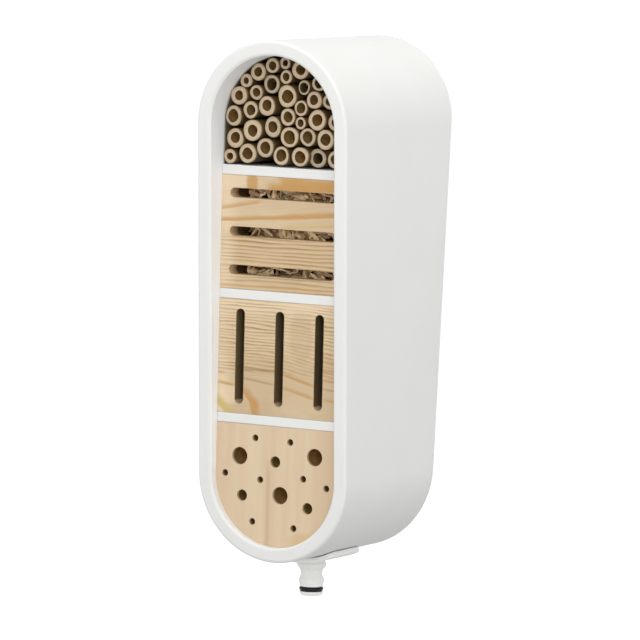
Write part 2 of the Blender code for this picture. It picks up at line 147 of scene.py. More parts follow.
def combine(item, other, operation):
    """Applied EXACT Boolean; the other object is used up."""
    modifier = item.modifiers.new("combine", "BOOLEAN")
    modifier.operation = operation
    modifier.solver = "EXACT"
    modifier.object = other
    bpy.context.view_layer.update()
    depsgraph = bpy.context.evaluated_depsgraph_get()
    made = bpy.data.meshes.new_from_object(item.evaluated_get(depsgraph), depsgraph=depsgraph)
    item.modifiers.clear()
    item.data = made
    bpy.data.objects.remove(other, do_unlink=True)


def soften_edges(item):
    """Small bevel along the sharp edges of a wooden piece."""
    modifier = item.modifiers.new("soften", "BEVEL")
    modifier.width = WOOD_EDGE
    modifier.segments = 2
    modifier.limit_method = "ANGLE"
    modifier.angle_limit = math.radians(40)
    modifier.use_clamp_overlap = True


def finish_piece(item, slot, *nodes):
    """Puts a finished piece on the frame in place of its CAD nodes."""
    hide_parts(*nodes)
    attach(item, "root")


def stadium(inset):
    """Outline (x, z) of the case moved inwards, about the case's centre."""
    radius = WIDTH / 2 - inset
    points = []
    for middle, start in ((STRAIGHT / 2, 0.0), (-STRAIGHT / 2, math.pi)):
        for step in range(ARC_STEPS + 1):
            angle = start + math.pi * step / ARC_STEPS
            points.append((radius * math.cos(angle), middle + radius * math.sin(angle)))
    return points


def front_y(z):
    """Place of the rim's front at a height above the case's centre."""
    return BOARD_Y - (FRONT_RECESS + FRONT_LEAN * z)


def back_y(z):
    """Place of the cover's back at a height above the case's centre."""
    return BOARD_Y + BACK_DEPTH + BACK_LEAN * z


def case_ring(inset, plane, offset):
    """The case's outline moved inwards, on a leaning plane moved backwards by offset."""
    return [(x, plane(z) + offset, CENTRE_Z + z) for x, z in stadium(inset)]


def quarter(radius):
    """Offsets (sideways, along) of a rounded edge, from the flank to the face."""
    angles = [math.pi / 2 * step / EDGE_STEPS for step in range(EDGE_STEPS + 1)]
    return [(radius * (1 - math.cos(a)), radius * (1 - math.sin(a))) for a in angles]


def in_metres(pairs):
    return [(a * MM, b * MM) for a, b in pairs]


def circle(radius, steps, height):
    angles = [2 * math.pi * step / steps for step in range(steps)]
    return [(radius * math.cos(a), radius * math.sin(a), height) for a in angles]


def turned(name, outline, origin, direction, materials=(), steps=TURNED_STEPS):
    """Solid turned from (radius, height) pairs, its foot at origin and pointing along direction."""
    vertices, faces = loft([circle(radius, steps, height) for radius, height in outline])
    turn = Vector((0, 0, 1)).rotation_difference(Vector(direction)).to_matrix()
    placed = [turn @ Vector(vertex) + Vector(origin) for vertex in vertices]
    return new_object(name, placed, faces, materials)


def rounded_corners(outline, radius, steps=4):
    """Outline with each inner corner replaced by a short curve."""
    points = [outline[0]]
    for before, corner, after in zip(outline, outline[1:], outline[2:]):
        before, corner, after = Vector(before), Vector(corner), Vector(after)
        to_before, to_after = before - corner, after - corner
        start = corner + to_before.normalized() * min(radius, to_before.length * 0.45)
        end = corner + to_after.normalized() * min(radius, to_after.length * 0.45)
        for step in range(steps + 1):
            share = step / steps
            near, far = start.lerp(corner, share), corner.lerp(end, share)
            points.append(tuple(near.lerp(far, share)))
    points.append(outline[-1])
    return points


# ---- materials: a small language for node trees ----

class Field:
    """A number that varies over the surface; arithmetic on it adds nodes to the material."""

    def __init__(self, tree, socket):
        self.tree = tree
        self.socket = socket

    def math(self, operation, *others):
        node = self.tree.nodes.new("ShaderNodeMath")
        node.operation = operation
        for slot, value in zip(node.inputs, (self, *others)):
            connect(self.tree, value, slot)
        return Field(self.tree, node.outputs[0])

    def __add__(self, other):
        return self.math("ADD", other)

    def __sub__(self, other):
        return self.math("SUBTRACT", other)

    def __mul__(self, other):
        return self.math("MULTIPLY", other)

    def fraction(self):
        return self.math("FRACT")

    def above(self, other):
        return self.math("MAXIMUM", other)

    def size(self):
        return self.math("ABSOLUTE")

    def rise(self, low, high):
        """0 below low, 1 above high, smooth between; falls where low is above high."""
        node = self.tree.nodes.new("ShaderNodeMapRange")
        node.interpolation_type = "SMOOTHSTEP"
        flip = low > high
        connect(self.tree, self, node.inputs["Value"])
        node.inputs["From Min"].default_value = min(low, high)
        node.inputs["From Max"].default_value = max(low, high)
        node.inputs["To Min"].default_value = 1.0 if flip else 0.0
        node.inputs["To Max"].default_value = 0.0 if flip else 1.0
        return Field(self.tree, node.outputs["Result"])

    def span(self, low, high):
        """Runs straight from low to high as the field goes from 0 to 1."""
        return self * (high - low) + low


def connect(tree, value, slot):
    if isinstance(value, Field):
        tree.links.new(value.socket, slot)
    else:
        slot.default_value = value


class Finish:
    """A material under construction, with its position fields in millimetres."""

    def __init__(self, name):
        self.material = bpy.data.materials.new(name)
        self.material.use_nodes = True
        self.tree = self.material.node_tree
        self.shader = self.tree.nodes["Principled BSDF"]
        place = self.tree.nodes.new("ShaderNodeTexCoord")
        split = self.tree.nodes.new("ShaderNodeSeparateXYZ")
        self.tree.links.new(place.outputs["Object"], split.inputs[0])
        x, y, z = (Field(self.tree, output) for output in split.outputs)
        self.x = x * (1 / MM)
        self.y = (y - BOARD_Y) * (1 / MM)
        self.z = (z - CENTRE_Z) * (1 / MM)

    def attribute(self, name):
        node = self.tree.nodes.new("ShaderNodeAttribute")
        node.attribute_name = name
        return Field(self.tree, node.outputs["Fac"])

    def noise(self, scales, detail=3.0, roughness=0.5, shift=0.0):
        """Noise between 0 and 1 whose grains measure 1 / scale mm along x, y and z."""
        join = self.tree.nodes.new("ShaderNodeCombineXYZ")
        for value, scale, slot in zip((self.x, self.y, self.z), scales, join.inputs):
            connect(self.tree, value * scale + shift, slot)
        node = self.tree.nodes.new("ShaderNodeTexNoise")
        node.inputs["Scale"].default_value = 1.0
        node.inputs["Detail"].default_value = detail
        node.inputs["Roughness"].default_value = roughness
        self.tree.links.new(join.outputs[0], node.inputs["Vector"])
        return Field(self.tree, node.outputs["Fac"])

    def mix(self, share, first, second):
        node = self.tree.nodes.new("ShaderNodeMix")
        node.data_type = "RGBA"
        slots = [slot for slot in node.inputs if slot.type == "RGBA"]
        connect(self.tree, share, node.inputs[0])
        for slot, colour in zip(slots, (first, second)):
            connect(self.tree, colour if isinstance(colour, Field) else (*colour, 1.0), slot)
        made = next(output for output in node.outputs if output.type == "RGBA")
        return Field(self.tree, made)

    def done(self, colour, roughness, height=None, depth=0.05, **constants):
        """Links colour, roughness and a bump of the given depth in millimetres."""
        connect(self.tree, colour, self.shader.inputs["Base Color"])
        connect(self.tree, roughness, self.shader.inputs["Roughness"])
        for name, value in constants.items():
            self.shader.inputs[name.replace("_", " ")].default_value = value
        if height is not None:
            bump = self.tree.nodes.new("ShaderNodeBump")
            bump.inputs["Strength"].default_value = 1.0
            bump.inputs["Distance"].default_value = depth * MM
            self.tree.links.new(height.socket, bump.inputs["Height"])
            self.tree.links.new(bump.outputs["Normal"], self.shader.inputs["Normal"])
        return self.material


# ---- materials ----

WHITE = ((0.710, 0.710, 0.692), (0.686, 0.685, 0.662))  # clean and dusty
LIGHT_GREY = ((0.845, 0.850, 0.822), (0.815, 0.820, 0.788))
OPENING_PAINTED_LIGHT = (0.880, 0.893, 0.905)
BEHIND_BOARDS_BROWN = (0.90, 0.580, 0.270)
CANE_GAP_SHADE = (0.20, 0.150, 0.085)


def plastic(name, clean, dusty, inside=None):
    """Satin moulded plastic: fine moulded texture, faint cloudiness, a little dust.

    The wall of the opening can be painted lighter than the rim, painted light which fades out low
    down. It is brown behind the boards, and darker still beside the canes, where it is painted
    shade.
    """
    f = Finish(name)
    cloud = f.noise((0.02, 0.02, 0.015), detail=4)
    speck = f.noise((0.9, 0.9, 0.9), detail=2, shift=7.0)
    dust = cloud.rise(0.35, 0.75) * 0.55 + speck.rise(0.62, 0.78) * 0.25
    colour = f.mix(dust, clean, dusty)
    if inside:
        wall = inner_wall(f)
        # painted light: the wall of the opening lighter than the rim, fading out low down
        colour = f.mix(wall * f.z.rise(-142.0, -112.0).span(0.20, 1.0), colour, inside)
        # brown on the wall behind the boards
        colour = f.mix(wall * f.y.rise(7.0, 13.0), colour, BEHIND_BOARDS_BROWN)
        # painted shade: a dark strip on the wall in the gap beside the canes
        shade_beside_canes = f.z.rise(91.0, 93.0) * f.y.rise(0.5, 4.0)
        colour = f.mix(wall * shade_beside_canes, colour, CANE_GAP_SHADE)
    texture = f.noise((2.2, 2.2, 2.2), detail=3, roughness=0.6)
    roughness = (texture * 0.35 + cloud * 0.65).span(0.46, 0.66)
    return f.done(colour, roughness, texture, depth=0.012, Specular_IOR_Level=0.3)


def inner_wall(f):
    """1 on the wall of the opening, 0 on the rim and outside."""
    end = (f.z.size() - STRAIGHT / 2 / MM).above(0.0)
    reach = (f.x * f.x + end * end).math("SQRT")
    wall = (WIDTH / 2 - RIM) / MM
    return reach.rise(wall + 0.8, wall + 0.1)


STREAK_WANDER = 0.6  # how far a streak strays from its line, in mm
STREAK_FADE = 4.0  # length over which its ends fade, in mm


def streak(f, start, end, half_width):
    """Band from start to end, (sideways, upwards) in mm, sharp below and fading out above."""
    (x0, z0), (x1, z1) = start, end
    length = math.hypot(x1 - x0, z1 - z0)
    along_x, along_z = (x1 - x0) / length, (z1 - z0) / length
    x, z = f.x - x0, f.z - z0
    along = x * along_x + z * along_z
    across = z * along_x - x * along_z
    stray = f.noise((0.07, 0.02, 0.07), detail=2, shift=x0) - 0.5
    across = across + stray * (2 * STREAK_WANDER)
    band = across.rise(-half_width, -0.6 * half_width) * across.rise(half_width, -0.2 * half_width)
    return (band * along.rise(-STREAK_FADE, STREAK_FADE)
            * along.rise(length + STREAK_FADE, length - STREAK_FADE))


def sweep(f, axis, start, end):
    """Rises from start to end along one axis and stays there."""
    return getattr(f, axis).rise(start, end)


def patch(f, centre, half_width, half_height):
    """Soft oval patch about a (sideways, upwards) centre, all in mm."""
    x = (f.x - centre[0]) * (1 / half_width)
    z = (f.z - centre[1]) * (1 / half_height)
    edge = (f.noise((0.12, 0.05, 0.12), detail=3, shift=centre[0]) - 0.5) * 0.7
    return (x * x + z * z + edge).rise(1.25, 0.35)


LYING_RING_SPACING = 2.75  # between growth lines, in mm
UPRIGHT_RING_SPACING = 2.35
RING_WANDER = 6.0  # how far they wander, in mm

PINE_LIGHT = (0.725, 0.580, 0.395)
PINE_PALE = (0.600, 0.468, 0.300)
PINE_PINK = (0.560, 0.415, 0.262)
PINE_TAN = (0.580, 0.425, 0.245)
PINE_SHADE = (0.500, 0.365, 0.215)
PINE_LATE = (0.25, 0.140, 0.048)
PINE_ORANGE = (0.47, 0.250, 0.068)
PINE_OLIVE = (0.50, 0.390, 0.110)


def tinted(f, colour, shapes):
    """Colour with each (shape, its points, amount, tint) laid over it in turn."""
    for shape, points, amount, tint in shapes:
        colour = f.mix(shape(f, *points) * amount, colour, tint)
    return colour


def pine(name, lines, line_share, line_depth, tones, streaks):
    """Planed pine: soft tones, fine rings over them, and broad warm streaks over those."""
    f = Finish(name)
    rings = lines(f)
    cloud = f.noise((0.012, 0.03, 0.05), detail=3)
    fibre = f.noise((0.06, 0.9, 1.6), detail=4, roughness=0.65, shift=3.0)
    lined = line_share(f)
    base = f.mix(cloud.rise(0.35, 0.68), PINE_PALE, PINE_PINK)
    base = f.mix(lined, base, PINE_TAN)
    phase = rings.fraction()
    late = phase.rise(0.28, 0.82) * phase.rise(1.0, 0.88)
    strength = f.noise((0.02, 0.05, 0.22), detail=2, shift=11.0).rise(0.25, 0.7).span(0.38, 1.0)
    late = late * strength * lined
    colour = f.mix(late * line_depth, tinted(f, base, tones), PINE_LATE)
    colour = tinted(f, colour, streaks)
    colour = f.mix(fibre.rise(0.50, 0.80) * 0.22, colour, PINE_LATE)
    height = fibre * 0.6 + late * 0.4
    return f.done(colour, (fibre * 0.5 + cloud * 0.5).span(0.52, 0.74), height, depth=0.06)


def lying_rings(f):
    """Rings nearly level low down, and rising to the right higher up."""
    slope = (f.z - 44.0).above(0.0) * 0.006 + 0.008
    wander = (f.noise((0.014, 0.02, 0.10), detail=3) - 0.5) * RING_WANDER
    return (f.z - slope * f.x + wander) * (1 / LYING_RING_SPACING)


def upright_rings(f):
    """Rings nearly level on the left, bending down to the right, more so lower down."""
    bend = f.x.above(0.0) * (f.z * -0.0030).above(0.0) + f.x * 0.012
    wander = (f.noise((0.020, 0.02, 0.13), detail=3, shift=5.0) - 0.5) * RING_WANDER
    return (f.z + bend + wander) * (1 / UPRIGHT_RING_SPACING)


def lying_lines_fade(f):
    """Strength of the growth lines: full in the lower middle, faint in the upper half."""
    low = f.z.rise(8.0, 22.0).span(0.65, 1.0)
    return f.z.rise(50.0, 42.0).span(0.10, 1.0) * low * f.x.rise(-50.0, -34.0).span(0.50, 1.0)


def upright_lines_fade(f):
    """Strength of the growth lines: faint low down, weaker on the left and near x = 16."""
    edges = f.z.rise(-56.0, -46.0).span(0.05, 1.0) * f.z.rise(2.0, -12.0).span(0.70, 1.0)
    faint = (f.x - 16.0).size().rise(10.0, 20.0).span(0.65, 1.0)
    return edges * faint * f.x.rise(-50.0, -34.0).span(0.70, 1.0)


# Shapes laid over the boards: shape, its points in mm, amount and tint
LYING_TONES = (
    (sweep, ("x", -32.0, -46.0), 0.75, PINE_LIGHT),
    (sweep, ("x", -4.0, 12.0), 0.22, PINE_SHADE),
    # lighter near the right wall: painted light that lifts the wall's shade
    (sweep, ("x", 32.0, 44.0), 0.30, PINE_LIGHT),
    (patch, ((-42.0, 84.0), 16.0, 9.0), 0.60, PINE_LIGHT),
    (patch, ((7.0, 87.0), 13.0, 5.0), 0.62, PINE_ORANGE),
    (patch, ((-2.0, 14.0), 22.0, 6.0), 0.40, PINE_SHADE))
LYING_STREAKS = (
    (patch, ((-25.0, 82.0), 5.0, 9.0), 0.80, PINE_ORANGE),
    (streak, ((-12.0, 79.7), (48.0, 83.0), 5.6), 0.94, PINE_ORANGE),
    (streak, ((-1.0, 83.6), (48.0, 86.5), 4.8), 0.70, PINE_ORANGE),
    (streak, ((-50.0, 63.5), (-18.0, 69.5), 2.2), 0.60, PINE_ORANGE),
    (streak, ((-50.0, 55.5), (2.0, 59.6), 2.3), 0.80, PINE_ORANGE),
    (streak, ((0.0, 59.6), (48.0, 64.0), 2.9), 0.82, PINE_ORANGE),
    (streak, ((0.0, 52.4), (46.0, 56.0), 1.8), 0.45, PINE_OLIVE),
    (streak, ((-50.0, 9.6), (48.0, 10.4), 1.2), 0.50, PINE_ORANGE))

UPRIGHT_TONES = (
    (sweep, ("z", -28.0, -60.0), 0.55, PINE_SHADE),
    (sweep, ("z", -46.0, -28.0), 0.36, PINE_LIGHT),
    (patch, ((17.5, -23.0), 11.0, 20.0), 0.55, PINE_SHADE),
    (sweep, ("z", -13.0, -2.0), 0.80, PINE_LIGHT),
    (sweep, ("x", -34.0, -47.0), 0.80, PINE_LIGHT),
    (patch, ((-40.0, -67.0), 12.0, 7.0), 0.50, PINE_LIGHT),
    (patch, ((18.0, -72.0), 16.0, 9.0), 0.16, PINE_LIGHT),
    (patch, ((-42.0, -27.0), 9.0, 12.0), 0.30, PINE_TAN))
UPRIGHT_STREAKS = (
    (patch, ((-9.0, -74.0), 5.0, 8.0), 0.50, PINE_SHADE),
    (streak, ((-28.0, -61.5), (-17.0, -73.0), 3.8), 0.80, PINE_ORANGE),
    (streak, ((-19.5, -69.0), (-15.5, -84.0), 5.6), 0.85, PINE_ORANGE),
    (streak, ((-54.0, -66.0), (-36.0, -81.0), 4.6), 0.80, PINE_OLIVE),
    (streak, ((-50.0, -51.6), (-44.0, -51.8), 1.5), 0.70, PINE_ORANGE),
    (streak, ((-50.0, -58.5), (-36.0, -60.0), 1.6), 0.75, PINE_ORANGE),
    (streak, ((-30.0, -48.0), (-4.0, -49.0), 1.2), 0.55, PINE_LATE),
    (streak, ((-30.0, -54.5), (-4.0, -57.5), 1.4), 0.42, PINE_LATE),
    (streak, ((3.0, -49.5), (28.0, -56.0), 1.7), 0.85, PINE_ORANGE),
    (streak, ((3.0, -59.0), (28.0, -64.5), 2.0), 0.65, PINE_ORANGE),
    (streak, ((35.0, -38.0), (48.0, -39.0), 1.1), 0.70, PINE_ORANGE),
    (streak, ((35.0, -44.5), (48.0, -46.0), 1.1), 0.60, PINE_ORANGE),
    (streak, ((35.0, -51.5), (48.0, -52.5), 1.2), 0.75, PINE_ORANGE),
    (streak, ((36.0, -57.5), (48.0, -59.0), 1.0), 0.50, PINE_LATE),
    (streak, ((36.0, -65.0), (48.0, -66.0), 1.7), 0.60, PINE_ORANGE))

# Painted light and shade in the upright slots: darker towards the right, painted shade from the
# rim; lighter and redder low down; pale at the bottom ends, painted light where they face the light
UPRIGHT_SLOT_SHADING = (
    (sweep, ("x", -20.0, 26.0), 0.75, (0.070, 0.048, 0.016)),
    (sweep, ("z", -50.0, -68.0), 0.45, (0.170, 0.085, 0.030)),
    (sweep, ("z", -70.0, -71.5), 0.85, (0.520, 0.400, 0.250)))


def cut_wood(name, mouth, deep, reach, depth=None, lip=None, tones=()):
    """Cut wood that changes from its mouth colour to its deep colour over reach mm inwards.

    The change of colour with depth is painted light and shade: darker inwards is painted shade,
    lighter inwards is painted light against the deep shade. The first millimetres can have a lip of
    another colour. The depth is measured from the boards' front, or read from the mesh attribute
    named by depth.
    """
    f = Finish(name)
    mark = f.noise((1.2, 0.35, 1.2), detail=4, roughness=0.65)
    inwards = f.attribute(depth) if depth else f.y
    colour = f.mix((inwards + (mark - 0.5) * (0.3 * reach)).rise(0.0, reach), mouth, deep)
    if lip:
        colour = f.mix((inwards + (mark - 0.5) * 1.2).rise(3.0, 1.6), colour, lip)
    colour = tinted(f, colour, tones)
    colour = f.mix(mark.rise(0.45, 0.75) * 0.4, colour, (0.10, 0.06, 0.025))
    return f.done(colour, mark.span(0.70, 0.92), mark, depth=0.15)


def block_wood():
    """Softwood with upright grain: broad bands, a drying line, painted shade on the right, warmer
    low down.
    """
    f = Finish("block_wood")
    band = f.noise((0.10, 0.03, 0.006), detail=3, roughness=0.55)
    fibre = f.noise((2.0, 0.8, 0.07), detail=4, roughness=0.65, shift=3.0)
    colour = f.mix(band.rise(0.32, 0.70), (0.642, 0.513, 0.347), (0.612, 0.454, 0.305))
    # darker towards the right: painted shade from the rim
    colour = f.mix(f.x.rise(20.0, 42.0) * 0.65, colour, (0.54, 0.390, 0.245))
    line = (f.x + 6.5 + (band - 0.5) * 1.5).size().rise(2.4, 0.6) * f.z.rise(-108.0, -122.0)
    colour = f.mix(line * 0.42, colour, (0.43, 0.295, 0.17))
    colour = f.mix(patch(f, (25.0, -166.0), 17.0, 7.0) * 0.42, colour, (0.55, 0.370, 0.150))
    colour = f.mix(fibre.rise(0.56, 0.82) * 0.20, colour, PINE_LATE)
    return f.done(colour, (fibre * 0.6 + band * 0.4).span(0.54, 0.74), fibre, depth=0.05)


def cane_end():
    """Sawn end of a cane: pale pith side, dotted fibres, darker and harder towards the skin."""
    f = Finish("cane_end")
    tone, out = f.attribute("tone"), f.attribute("outwards")
    dots = f.noise((3.4, 0.5, 3.4), detail=2, roughness=0.7)
    saw = f.noise((0.5, 0.5, 2.6), detail=3, shift=5.0)
    mottle = f.noise((0.75, 0.3, 0.75), detail=4, roughness=0.7, shift=13.0)
    fresh = f.mix(f.attribute("hue"), (0.560, 0.456, 0.296), (0.575, 0.426, 0.306))
    colour = f.mix(tone, fresh, (0.40, 0.335, 0.250))
    colour = f.mix(dots.rise(0.48, 0.70) * 0.50, colour, (0.29, 0.190, 0.100))
    colour = f.mix(mottle.rise(0.44, 0.66) * 0.42, colour, (0.34, 0.240, 0.130))
    colour = f.mix(out.rise(0.30, 0.10) * 0.35, colour, (0.67, 0.555, 0.400))
    colour = f.mix(out.rise(0.60, 1.0) * 0.70, colour, (0.33, 0.235, 0.125))
    return f.done(colour, saw.span(0.60, 0.85), dots * 0.5 + saw * 0.5, depth=0.12)


def cane_skin():
    """Smooth waxy skin with long fibres."""
    f = Finish("cane_skin")
    tone, depth = f.attribute("tone"), f.attribute("depth")
    fibre = f.noise((1.6, 0.05, 1.6), detail=4, roughness=0.6)
    # painted shade: the skin is dark, and darker further back, for the gaps between the canes
    colour = f.mix(depth.rise(0.3, 3.0), (0.28, 0.185, 0.082), (0.115, 0.068, 0.024))
    colour = f.mix(tone * 0.4, colour, (0.080, 0.060, 0.035))
    colour = f.mix(fibre.rise(0.45, 0.75) * 0.5, colour, (0.070, 0.044, 0.018))
    return f.done(colour, fibre.span(0.35, 0.60), fibre, depth=0.05)


def chip_wood():
    """Weathered split wood, each chip with its own tone."""
    f = Finish("chip_wood")
    tone = f.attribute("tone")
    fibre = f.noise((0.4, 1.4, 0.9), detail=5, roughness=0.7)
    colour = f.mix(tone, (0.24, 0.125, 0.036), (0.98, 0.770, 0.490))
    colour = f.mix(fibre.rise(0.46, 0.72) * 0.45, colour, (0.30, 0.180, 0.070))
    return f.done(colour, fibre.span(0.72, 0.95), fibre, depth=0.35)


def rubber():
    """Black rubber with a faint bloom."""
    f = Finish("ring_rubber")
    bloom = f.noise((0.6, 0.6, 0.6), detail=4)
    colour = f.mix(bloom.rise(0.4, 0.75), (0.007, 0.007, 0.007), (0.022, 0.022, 0.021))
    return f.done(colour, bloom.span(0.22, 0.42), bloom, depth=0.02, Specular_IOR_Level=0.25)


def steel():
    """Brushed steel, dulled in places."""
    f = Finish("screw_steel")
    brush = f.noise((3.0, 3.0, 0.3), detail=4, roughness=0.7)
    stain = f.noise((0.35, 0.35, 0.35), detail=3, shift=9.0)
    colour = f.mix(stain.rise(0.4, 0.7), (0.66, 0.66, 0.64), (0.46, 0.45, 0.42))
    return f.done(colour, brush.span(0.22, 0.48), brush, depth=0.02, Metallic=1.0)


# ---- case, cover and shelves ----

def make_case(finish):
    seat = -(COVER + GAP)
    outer = [case_ring(inset, front_y, along) for inset, along in quarter(EDGE)]
    inner = [case_ring(RIM - inset, front_y, along) for inset, along in reversed(quarter(EDGE))]
    rear = [case_ring(inset, back_y, seat - along)
            for inset, along in reversed(quarter(JOINT_EDGE))]
    rings = [*rear, *outer, *inner, case_ring(RIM, back_y, seat),
             case_ring(RIM - WALL, back_y, seat), case_ring(RIM - WALL, front_y, WALL),
             case_ring(WALL, front_y, WALL), case_ring(WALL, back_y, seat)]
    case = new_object("case_moulding", *loft(rings, closed=True), (finish,))
    smooth(case)
    even_normals(case)
    finish_piece(case, "case_plastic", "case")


def cover_screws():
    """Each cover screw's node, the middle of its head's top, and its length."""
    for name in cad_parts:
        if name.startswith("cover_screw"):
            low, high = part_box(name)
            middle = (low + high) / 2
            yield name, Vector((middle.x, high.y, middle.z)), high.y - low.y


HOLE_RISE = Vector((0.0, 0.1 * MM, 0.0))  # the cover's holes start this far behind the heads
# Hole for a countersunk screw: radius, and depth below the head's top, in mm
SCREW_HOLE = ((3.4, -4.0), (3.4, 0.3), (3.3, 0.6), (1.7, 2.2), (1.7, 9.0))


def screw_hole(head, inward):
    return turned("screw_hole", in_metres(SCREW_HOLE), head, inward, steps=SCREW_STEPS)


def make_cover(finish):
    step = RIM + GAP
    edge = [case_ring(inset, back_y, -along) for inset, along in quarter(EDGE)]
    joint = [case_ring(inset, back_y, -COVER + along)
             for inset, along in reversed(quarter(JOINT_EDGE))]
    rings = [case_ring(step, back_y, -COVER - COVER_STEP), case_ring(step, back_y, -COVER),
             *joint, *edge]
    cover = new_object("rear_cover_panel", *loft(rings), (finish,))
    for _, head, _ in cover_screws():
        combine(cover, screw_hole(head + HOLE_RISE, (0, -1, 0)), "DIFFERENCE")
    smooth(cover)
    even_normals(cover)
    finish_piece(cover, "case_plastic", "rear_cover")


def shelf_ring(low, high, inset, y):
    return [(low.x, y, low.z + inset), (high.x, y, low.z + inset),
            (high.x, y, high.z - inset), (low.x, y, high.z - inset)]


def make_shelves(finish):
    for node in ("shelf_upper", "shelf_middle", "shelf_lower"):
        low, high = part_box(node)
        rings = [shelf_ring(low, high, inset, low.y + along)
                 for inset, along in reversed(quarter(SHELF_EDGE))]
        rings.append(shelf_ring(low, high, 0.0, high.y))
        shelf = new_object(node + "_plate", *loft(rings), (finish,))
        smooth(shelf)
        even_normals(shelf)
        finish_piece(shelf, "case_plastic", node)


# ---- boards and block ----

def plate(name, outline, low_y, high_y, materials=()):
    """Flat piece with the same (x, z) outline from front to back."""
    rings = [[(x, y, z) for x, z in outline] for y in (low_y, high_y)]
    return new_object(name, *loft(rings), materials)


SLOT_WIDTH = 6.8 * MM
SLOT_STEPS = 24  # in each round end and each long side
SLOT_CUT = 15 * MM  # cutter: this far in front of the board, twice behind
END_ROUGH, SIDE_ROUGH = 0.03 * MM, 0.035 * MM
# Three slots: length, spacing, how far above the board's middle, and whether they are upright
LYING_SLOTS = (85 * MM, 26.85 * MM, 0.5 * MM, False)
UPRIGHT_SLOTS = (66.6 * MM, 32 * MM, 0.0, True)


def slot_cutter(x, z, length, upright):
    """Long hole with round ends, its edge slightly uneven as a router leaves it in wood."""
    rng = np.random.default_rng(int(abs(x) * 1e5 + abs(z) * 1e4) + 3)
    radius, reach = SLOT_WIDTH / 2, length / 2 - SLOT_WIDTH / 2
    points = []
    for side, start in ((1, -math.pi / 2), (-1, math.pi / 2)):
        for step in range(SLOT_STEPS + 1):
            angle = start + math.pi * step / SLOT_STEPS
            rough = radius + rng.normal(0, END_ROUGH)
            points.append((side * reach + rough * math.cos(angle), rough * math.sin(angle)))
        far = -side * reach
        for step in range(1, SLOT_STEPS):
            along = side * reach + (far - side * reach) * step / SLOT_STEPS
            points.append((along, side * (radius + rng.normal(0, SIDE_ROUGH))))
    if upright:
        points = [(-b, a) for a, b in points]
    outline = [(x + a, z + b) for a, b in points]
    return plate("slot_cutter", outline, BOARD_Y - SLOT_CUT, BOARD_Y + 2 * SLOT_CUT)


BORE_END = 5 * MM  # a face that looks forwards from deeper than this ends a bore


def mark_cut_faces(item, on_edge):
    """Gives cut walls and the ends of bores the second material.

    on_edge says if a point lies on the piece's outer edge, which keeps the first material.
    """
    for face in item.data.polygons:
        if abs(face.normal.y) < 0.5 and not on_edge(face.center):
            face.material_index = 1
        elif face.normal.y < -0.5 and face.center.y > BOARD_Y + BORE_END:
            face.material_index = 1


def close_box(node):
    """A wooden piece's box, grown to stand close against its neighbours."""
    low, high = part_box(node)
    grow = Vector((CLOSE, 0.0, CLOSE))
    return low - grow, high + grow


def make_board(node, name, slots, materials):
    low, high = close_box(node)
    outline = [(low.x, low.z), (high.x, low.z), (high.x, high.z), (low.x, high.z)]
    board = plate(name, outline, low.y, high.y, materials)
    length, spacing, raised, upright = slots
    middle = sum(corner.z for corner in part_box(node)) / 2 + raised
    for step in (-1, 0, 1):
        x, z = (step * spacing, middle) if upright else (0.0, middle + step * spacing)
        combine(board, slot_cutter(x, z, length, upright), "DIFFERENCE")

    def on_edge(point):
        near = 0.2 * MM
        return (point.x < low.x + near or point.x > high.x - near
                or point.z < low.z + near or point.z > high.z - near)

    mark_cut_faces(board, on_edge)
    soften_edges(board)
    smooth(board, 30)
    finish_piece(board, "pine_board", node)


def make_boards():
    # the slot walls darken inwards: painted shade
    routed = cut_wood("routed_lying", (0.60, 0.450, 0.270), (0.52, 0.370, 0.200), 10.0)
    wood = pine("pine_lying", lying_rings, lying_lines_fade, 0.76, LYING_TONES, LYING_STREAKS)
    make_board("board_lying_slots", "lying_slot_board", LYING_SLOTS, (wood, routed))
    # the upright slots' walls painted near black: painted shade in the deep narrow slots
    routed = cut_wood("routed_upright", (0.150, 0.108, 0.048), (0.135, 0.090, 0.034), 10.0,
                      tones=UPRIGHT_SLOT_SHADING)
    wood = pine("pine_upright", upright_rings, upright_lines_fade, 0.74, UPRIGHT_TONES,
                UPRIGHT_STREAKS)
    make_board("board_upright_slots", "upright_slot_board", UPRIGHT_SLOTS, (wood, routed))


DRILL_START = 5 * MM  # the drills start this far in front of the block
BORE_DEPTH = 62 * MM
# Bores of the block: sideways and upwards from the case centre, and diameter, in mm
BLOCK_BORES = (
    (-17.7, -96.1, 4.8), (10.6, -97.0, 4.8), (-30.1, -109.6, 12.2), (30.5, -105.9, 12.2),
    (-1.2, -111.7, 8.0), (-41.9, -122.5, 4.8), (-13.1, -125.1, 4.8), (21.7, -121.8, 4.8),
    (40.4, -126.9, 4.8), (-27.6, -137.2, 8.0), (3.3, -134.9, 12.2), (25.6, -142.1, 8.0),
    (-18.9, -155.0, 4.8), (14.7, -157.0, 4.8))


